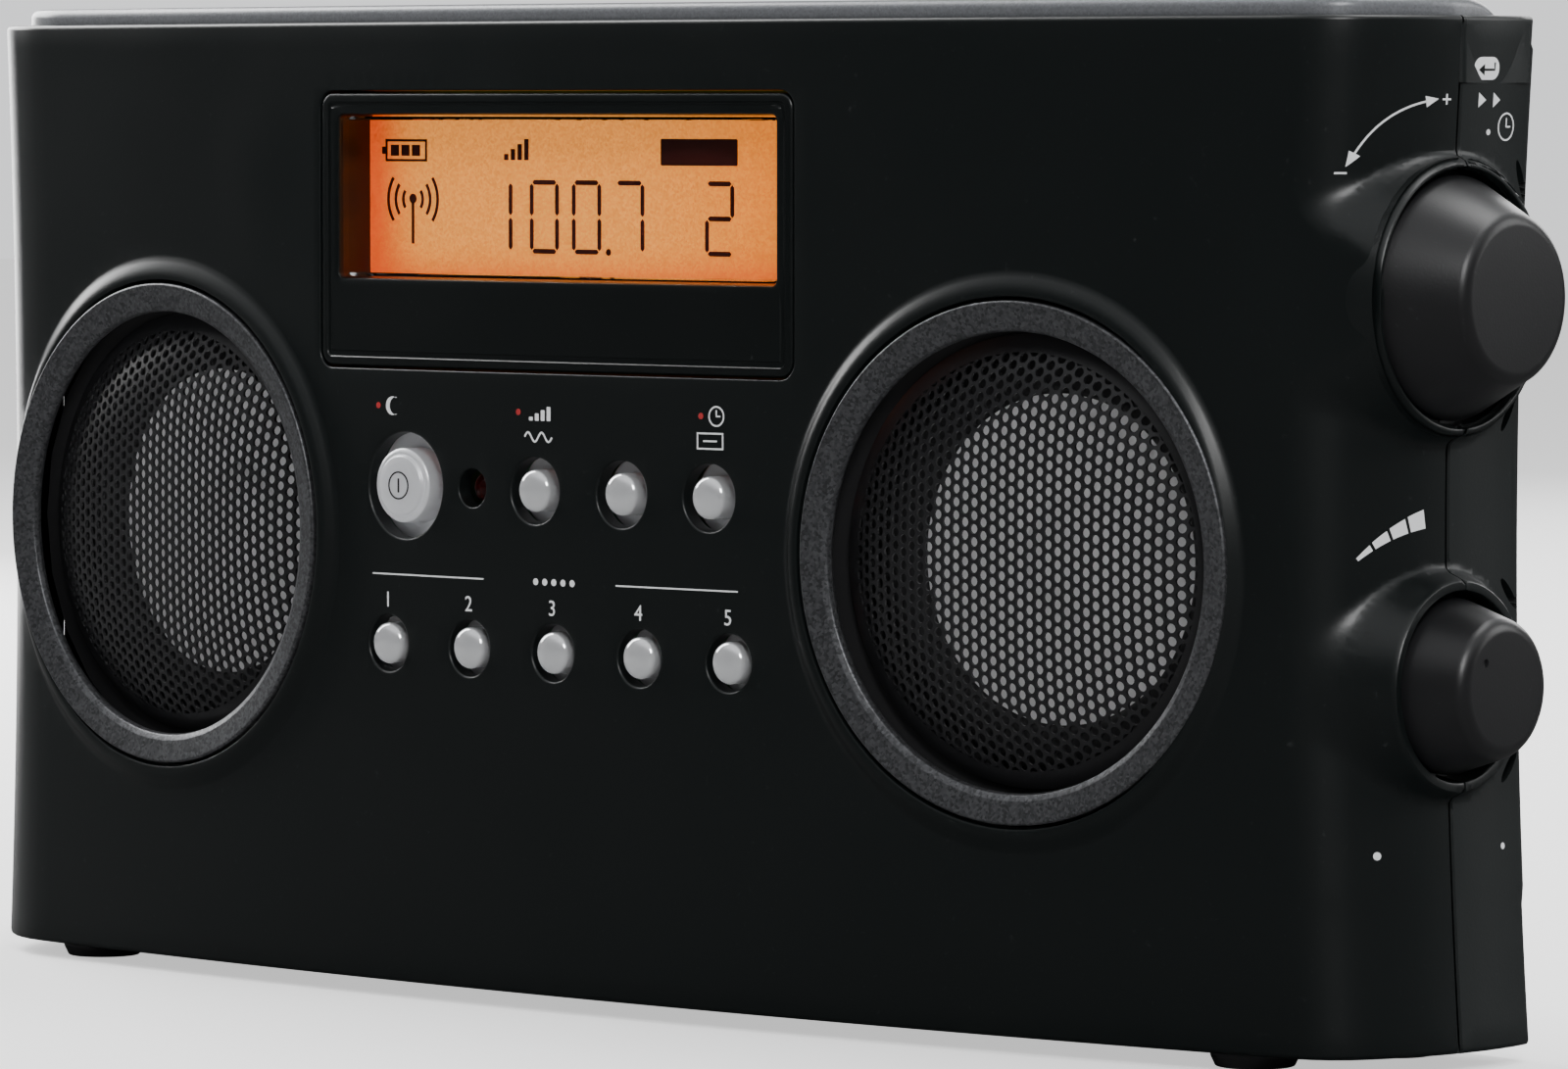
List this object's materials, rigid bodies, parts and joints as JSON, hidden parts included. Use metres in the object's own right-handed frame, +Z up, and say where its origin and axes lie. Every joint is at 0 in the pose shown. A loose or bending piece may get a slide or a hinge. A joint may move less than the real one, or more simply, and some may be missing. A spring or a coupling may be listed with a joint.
{
  "type": "tabletop radio",
  "caption": "Wide portable table radio: waisted black case, round speakers behind perforated grilles, amber display, chrome keys, side knobs, folding carry handle.",
  "frame": {"origin": "centre of the whole object's box at the feet's undersides", "axes": "+X to the right seen from the front, +Y from the front face to the back, +Z up"},
  "size_m": [0.3182, 0.067, 0.1602],
  "materials": {
    "case_black": "satin moulded plastic with a very fine grain",
    "handle_grey": "grey satin plastic",
    "panel_black": "smooth satin plastic",
    "window_clear": "clear polished",
    "lcd_amber": "backlit amber",
    "button_silver": "satin silver",
    "button_chrome": "polished",
    "lens_red": "clear red",
    "knob_black": "satin moulded plastic with a fine grain",
    "ring_gunmetal": "metallic satin paint",
    "grille_black": "black painted perforated steel",
    "cone_paper": "coated paper",
    "magnet": "plated",
    "inner_black": "moulded",
    "steel": "zinc plated",
    "aerial_chrome": "polished",
    "control_metal": "pressed",
    "board_green": "solder mask",
    "ferrite": "sintered",
    "cell_jacket": "printed jacket",
    "foot_rubber": "matt"
  },
  "bodies": {
    "casing": {"front_shell": "case_black", "rear_shell": "case_black", "display_panel": "panel_black", "display_window": "window_clear", "lcd_module": "lcd_amber", "indicator_led": "lens_red", "tuning_encoder": "control_metal", "volume_pot": "control_metal", "battery_box": "inner_black", "main_board": "board_green", "button_board": "board_green", "ferrite_rod": "ferrite", "speaker_ring_left": "ring_gunmetal", "speaker_grille_left": "grille_black", "speaker_basket_left": "inner_black", "speaker_cone_left": "cone_paper", "speaker_magnet_left": "magnet", "handle_pin_left": "steel", "speaker_ring_right": "ring_gunmetal", "speaker_grille_right": "grille_black", "speaker_basket_right": "inner_black", "speaker_cone_right": "cone_paper", "speaker_magnet_right": "magnet", "handle_pin_right": "steel", "battery_1": "cell_jacket", "rear_screw_1": "steel", "battery_2": "cell_jacket", "rear_screw_2": "steel", "battery_3": "cell_jacket", "rear_screw_3": "steel", "battery_4": "cell_jacket", "rear_screw_4": "steel", "headphone_jack": "inner_black", "line_jack": "inner_black", "power_jack": "inner_black", "foot_front_left": "foot_rubber", "foot_front_right": "foot_rubber", "foot_rear_left": "foot_rubber", "foot_rear_right": "foot_rubber"},
    "preset_button_1": {"preset_button_1": "button_chrome"},
    "preset_button_2": {"preset_button_2": "button_chrome"},
    "preset_button_3": {"preset_button_3": "button_chrome"},
    "preset_button_4": {"preset_button_4": "button_chrome"},
    "preset_button_5": {"preset_button_5": "button_chrome"},
    "function_button_1": {"function_button_1": "button_chrome"},
    "function_button_2": {"function_button_2": "button_chrome"},
    "function_button_3": {"function_button_3": "button_chrome"},
    "power_button": {"power_button": "button_silver"},
    "tuning_push": {"tuning_shaft": "steel"},
    "tuning": {"tuning_knob": "knob_black"},
    "volume": {"volume_knob": "knob_black", "volume_shaft": "steel"},
    "handle": {"carry_handle": "handle_grey"},
    "aerial_base": {"aerial_base": "aerial_chrome"},
    "aerial_arm": {"aerial_elbow": "aerial_chrome", "aerial_section_1": "aerial_chrome"},
    "aerial_tube_2": {"aerial_section_2": "aerial_chrome"},
    "aerial_tube_3": {"aerial_section_3": "aerial_chrome"},
    "aerial_tube_4": {"aerial_section_4": "aerial_chrome"},
    "battery_cover": {"battery_door": "case_black"}
  },
  "joints": [
    {"name": "preset_button_1_press", "type": "slide", "parent": "casing", "child": "preset_button_1", "axis": [0, 1, 0], "range_m": [0, 0.001], "stiffness_N_per_m": 400},
    {"name": "preset_button_2_press", "type": "slide", "parent": "casing", "child": "preset_button_2", "axis": [0, 1, 0], "range_m": [0, 0.001], "stiffness_N_per_m": 400},
    {"name": "preset_button_3_press", "type": "slide", "parent": "casing", "child": "preset_button_3", "axis": [0, 1, 0], "range_m": [0, 0.001], "stiffness_N_per_m": 400},
    {"name": "preset_button_4_press", "type": "slide", "parent": "casing", "child": "preset_button_4", "axis": [0, 1, 0], "range_m": [0, 0.001], "stiffness_N_per_m": 400},
    {"name": "preset_button_5_press", "type": "slide", "parent": "casing", "child": "preset_button_5", "axis": [0, 1, 0], "range_m": [0, 0.001], "stiffness_N_per_m": 400},
    {"name": "function_button_1_press", "type": "slide", "parent": "casing", "child": "function_button_1", "axis": [0, 1, 0], "range_m": [0, 0.001], "stiffness_N_per_m": 400},
    {"name": "function_button_2_press", "type": "slide", "parent": "casing", "child": "function_button_2", "axis": [0, 1, 0], "range_m": [0, 0.001], "stiffness_N_per_m": 400},
    {"name": "function_button_3_press", "type": "slide", "parent": "casing", "child": "function_button_3", "axis": [0, 1, 0], "range_m": [0, 0.001], "stiffness_N_per_m": 400},
    {"name": "power_button_press", "type": "slide", "parent": "casing", "child": "power_button", "axis": [0, 1, 0], "range_m": [0, 0.001], "stiffness_N_per_m": 400},
    {"name": "tuning_press", "type": "slide", "parent": "casing", "child": "tuning_push", "axis": [-1, 0, 0], "range_m": [0, 0.0008], "stiffness_N_per_m": 900},
    {"name": "tuning_turn", "type": "hinge", "parent": "tuning_push", "child": "tuning", "pos_m": [0.15094, -0.00145, 0.1155], "axis": [1, 0, 0], "continuous": true},
    {"name": "volume_turn", "type": "hinge", "parent": "casing", "child": "volume", "pos_m": [0.15094, -0.00145, 0.0576], "axis": [1, 0, 0], "range_deg": [-210, 90]},
    {"name": "handle_swing", "type": "hinge", "parent": "casing", "child": "handle", "pos_m": [-0.00906, 0.00755, 0.1529], "axis": [-1, 0, 0], "range_deg": [0, 95]},
    {"name": "aerial_swing", "type": "hinge", "parent": "casing", "child": "aerial_base", "pos_m": [-0.14505, 0.02505, 0.1485], "axis": [0, -1, 0], "range_deg": [0, 180]},
    {"name": "aerial_tilt", "type": "hinge", "parent": "aerial_base", "child": "aerial_arm", "pos_m": [-0.14505, 0.02505, 0.1485], "axis": [0, 0, 1], "range_deg": [0, 90]},
    {"name": "aerial_extend_2", "type": "slide", "parent": "aerial_arm", "child": "aerial_tube_2", "axis": [1, 0, 0], "range_m": [0, 0.15]},
    {"name": "aerial_extend_3", "type": "slide", "parent": "aerial_tube_2", "child": "aerial_tube_3", "axis": [1, 0, 0], "range_m": [0, 0.15]},
    {"name": "aerial_extend_4", "type": "slide", "parent": "aerial_tube_3", "child": "aerial_tube_4", "axis": [1, 0, 0], "range_m": [0, 0.15]},
    {"name": "battery_door_pull", "type": "slide", "parent": "casing", "child": "battery_cover", "axis": [0, 1, 0], "range_m": [0, 0.03]}
  ]
}
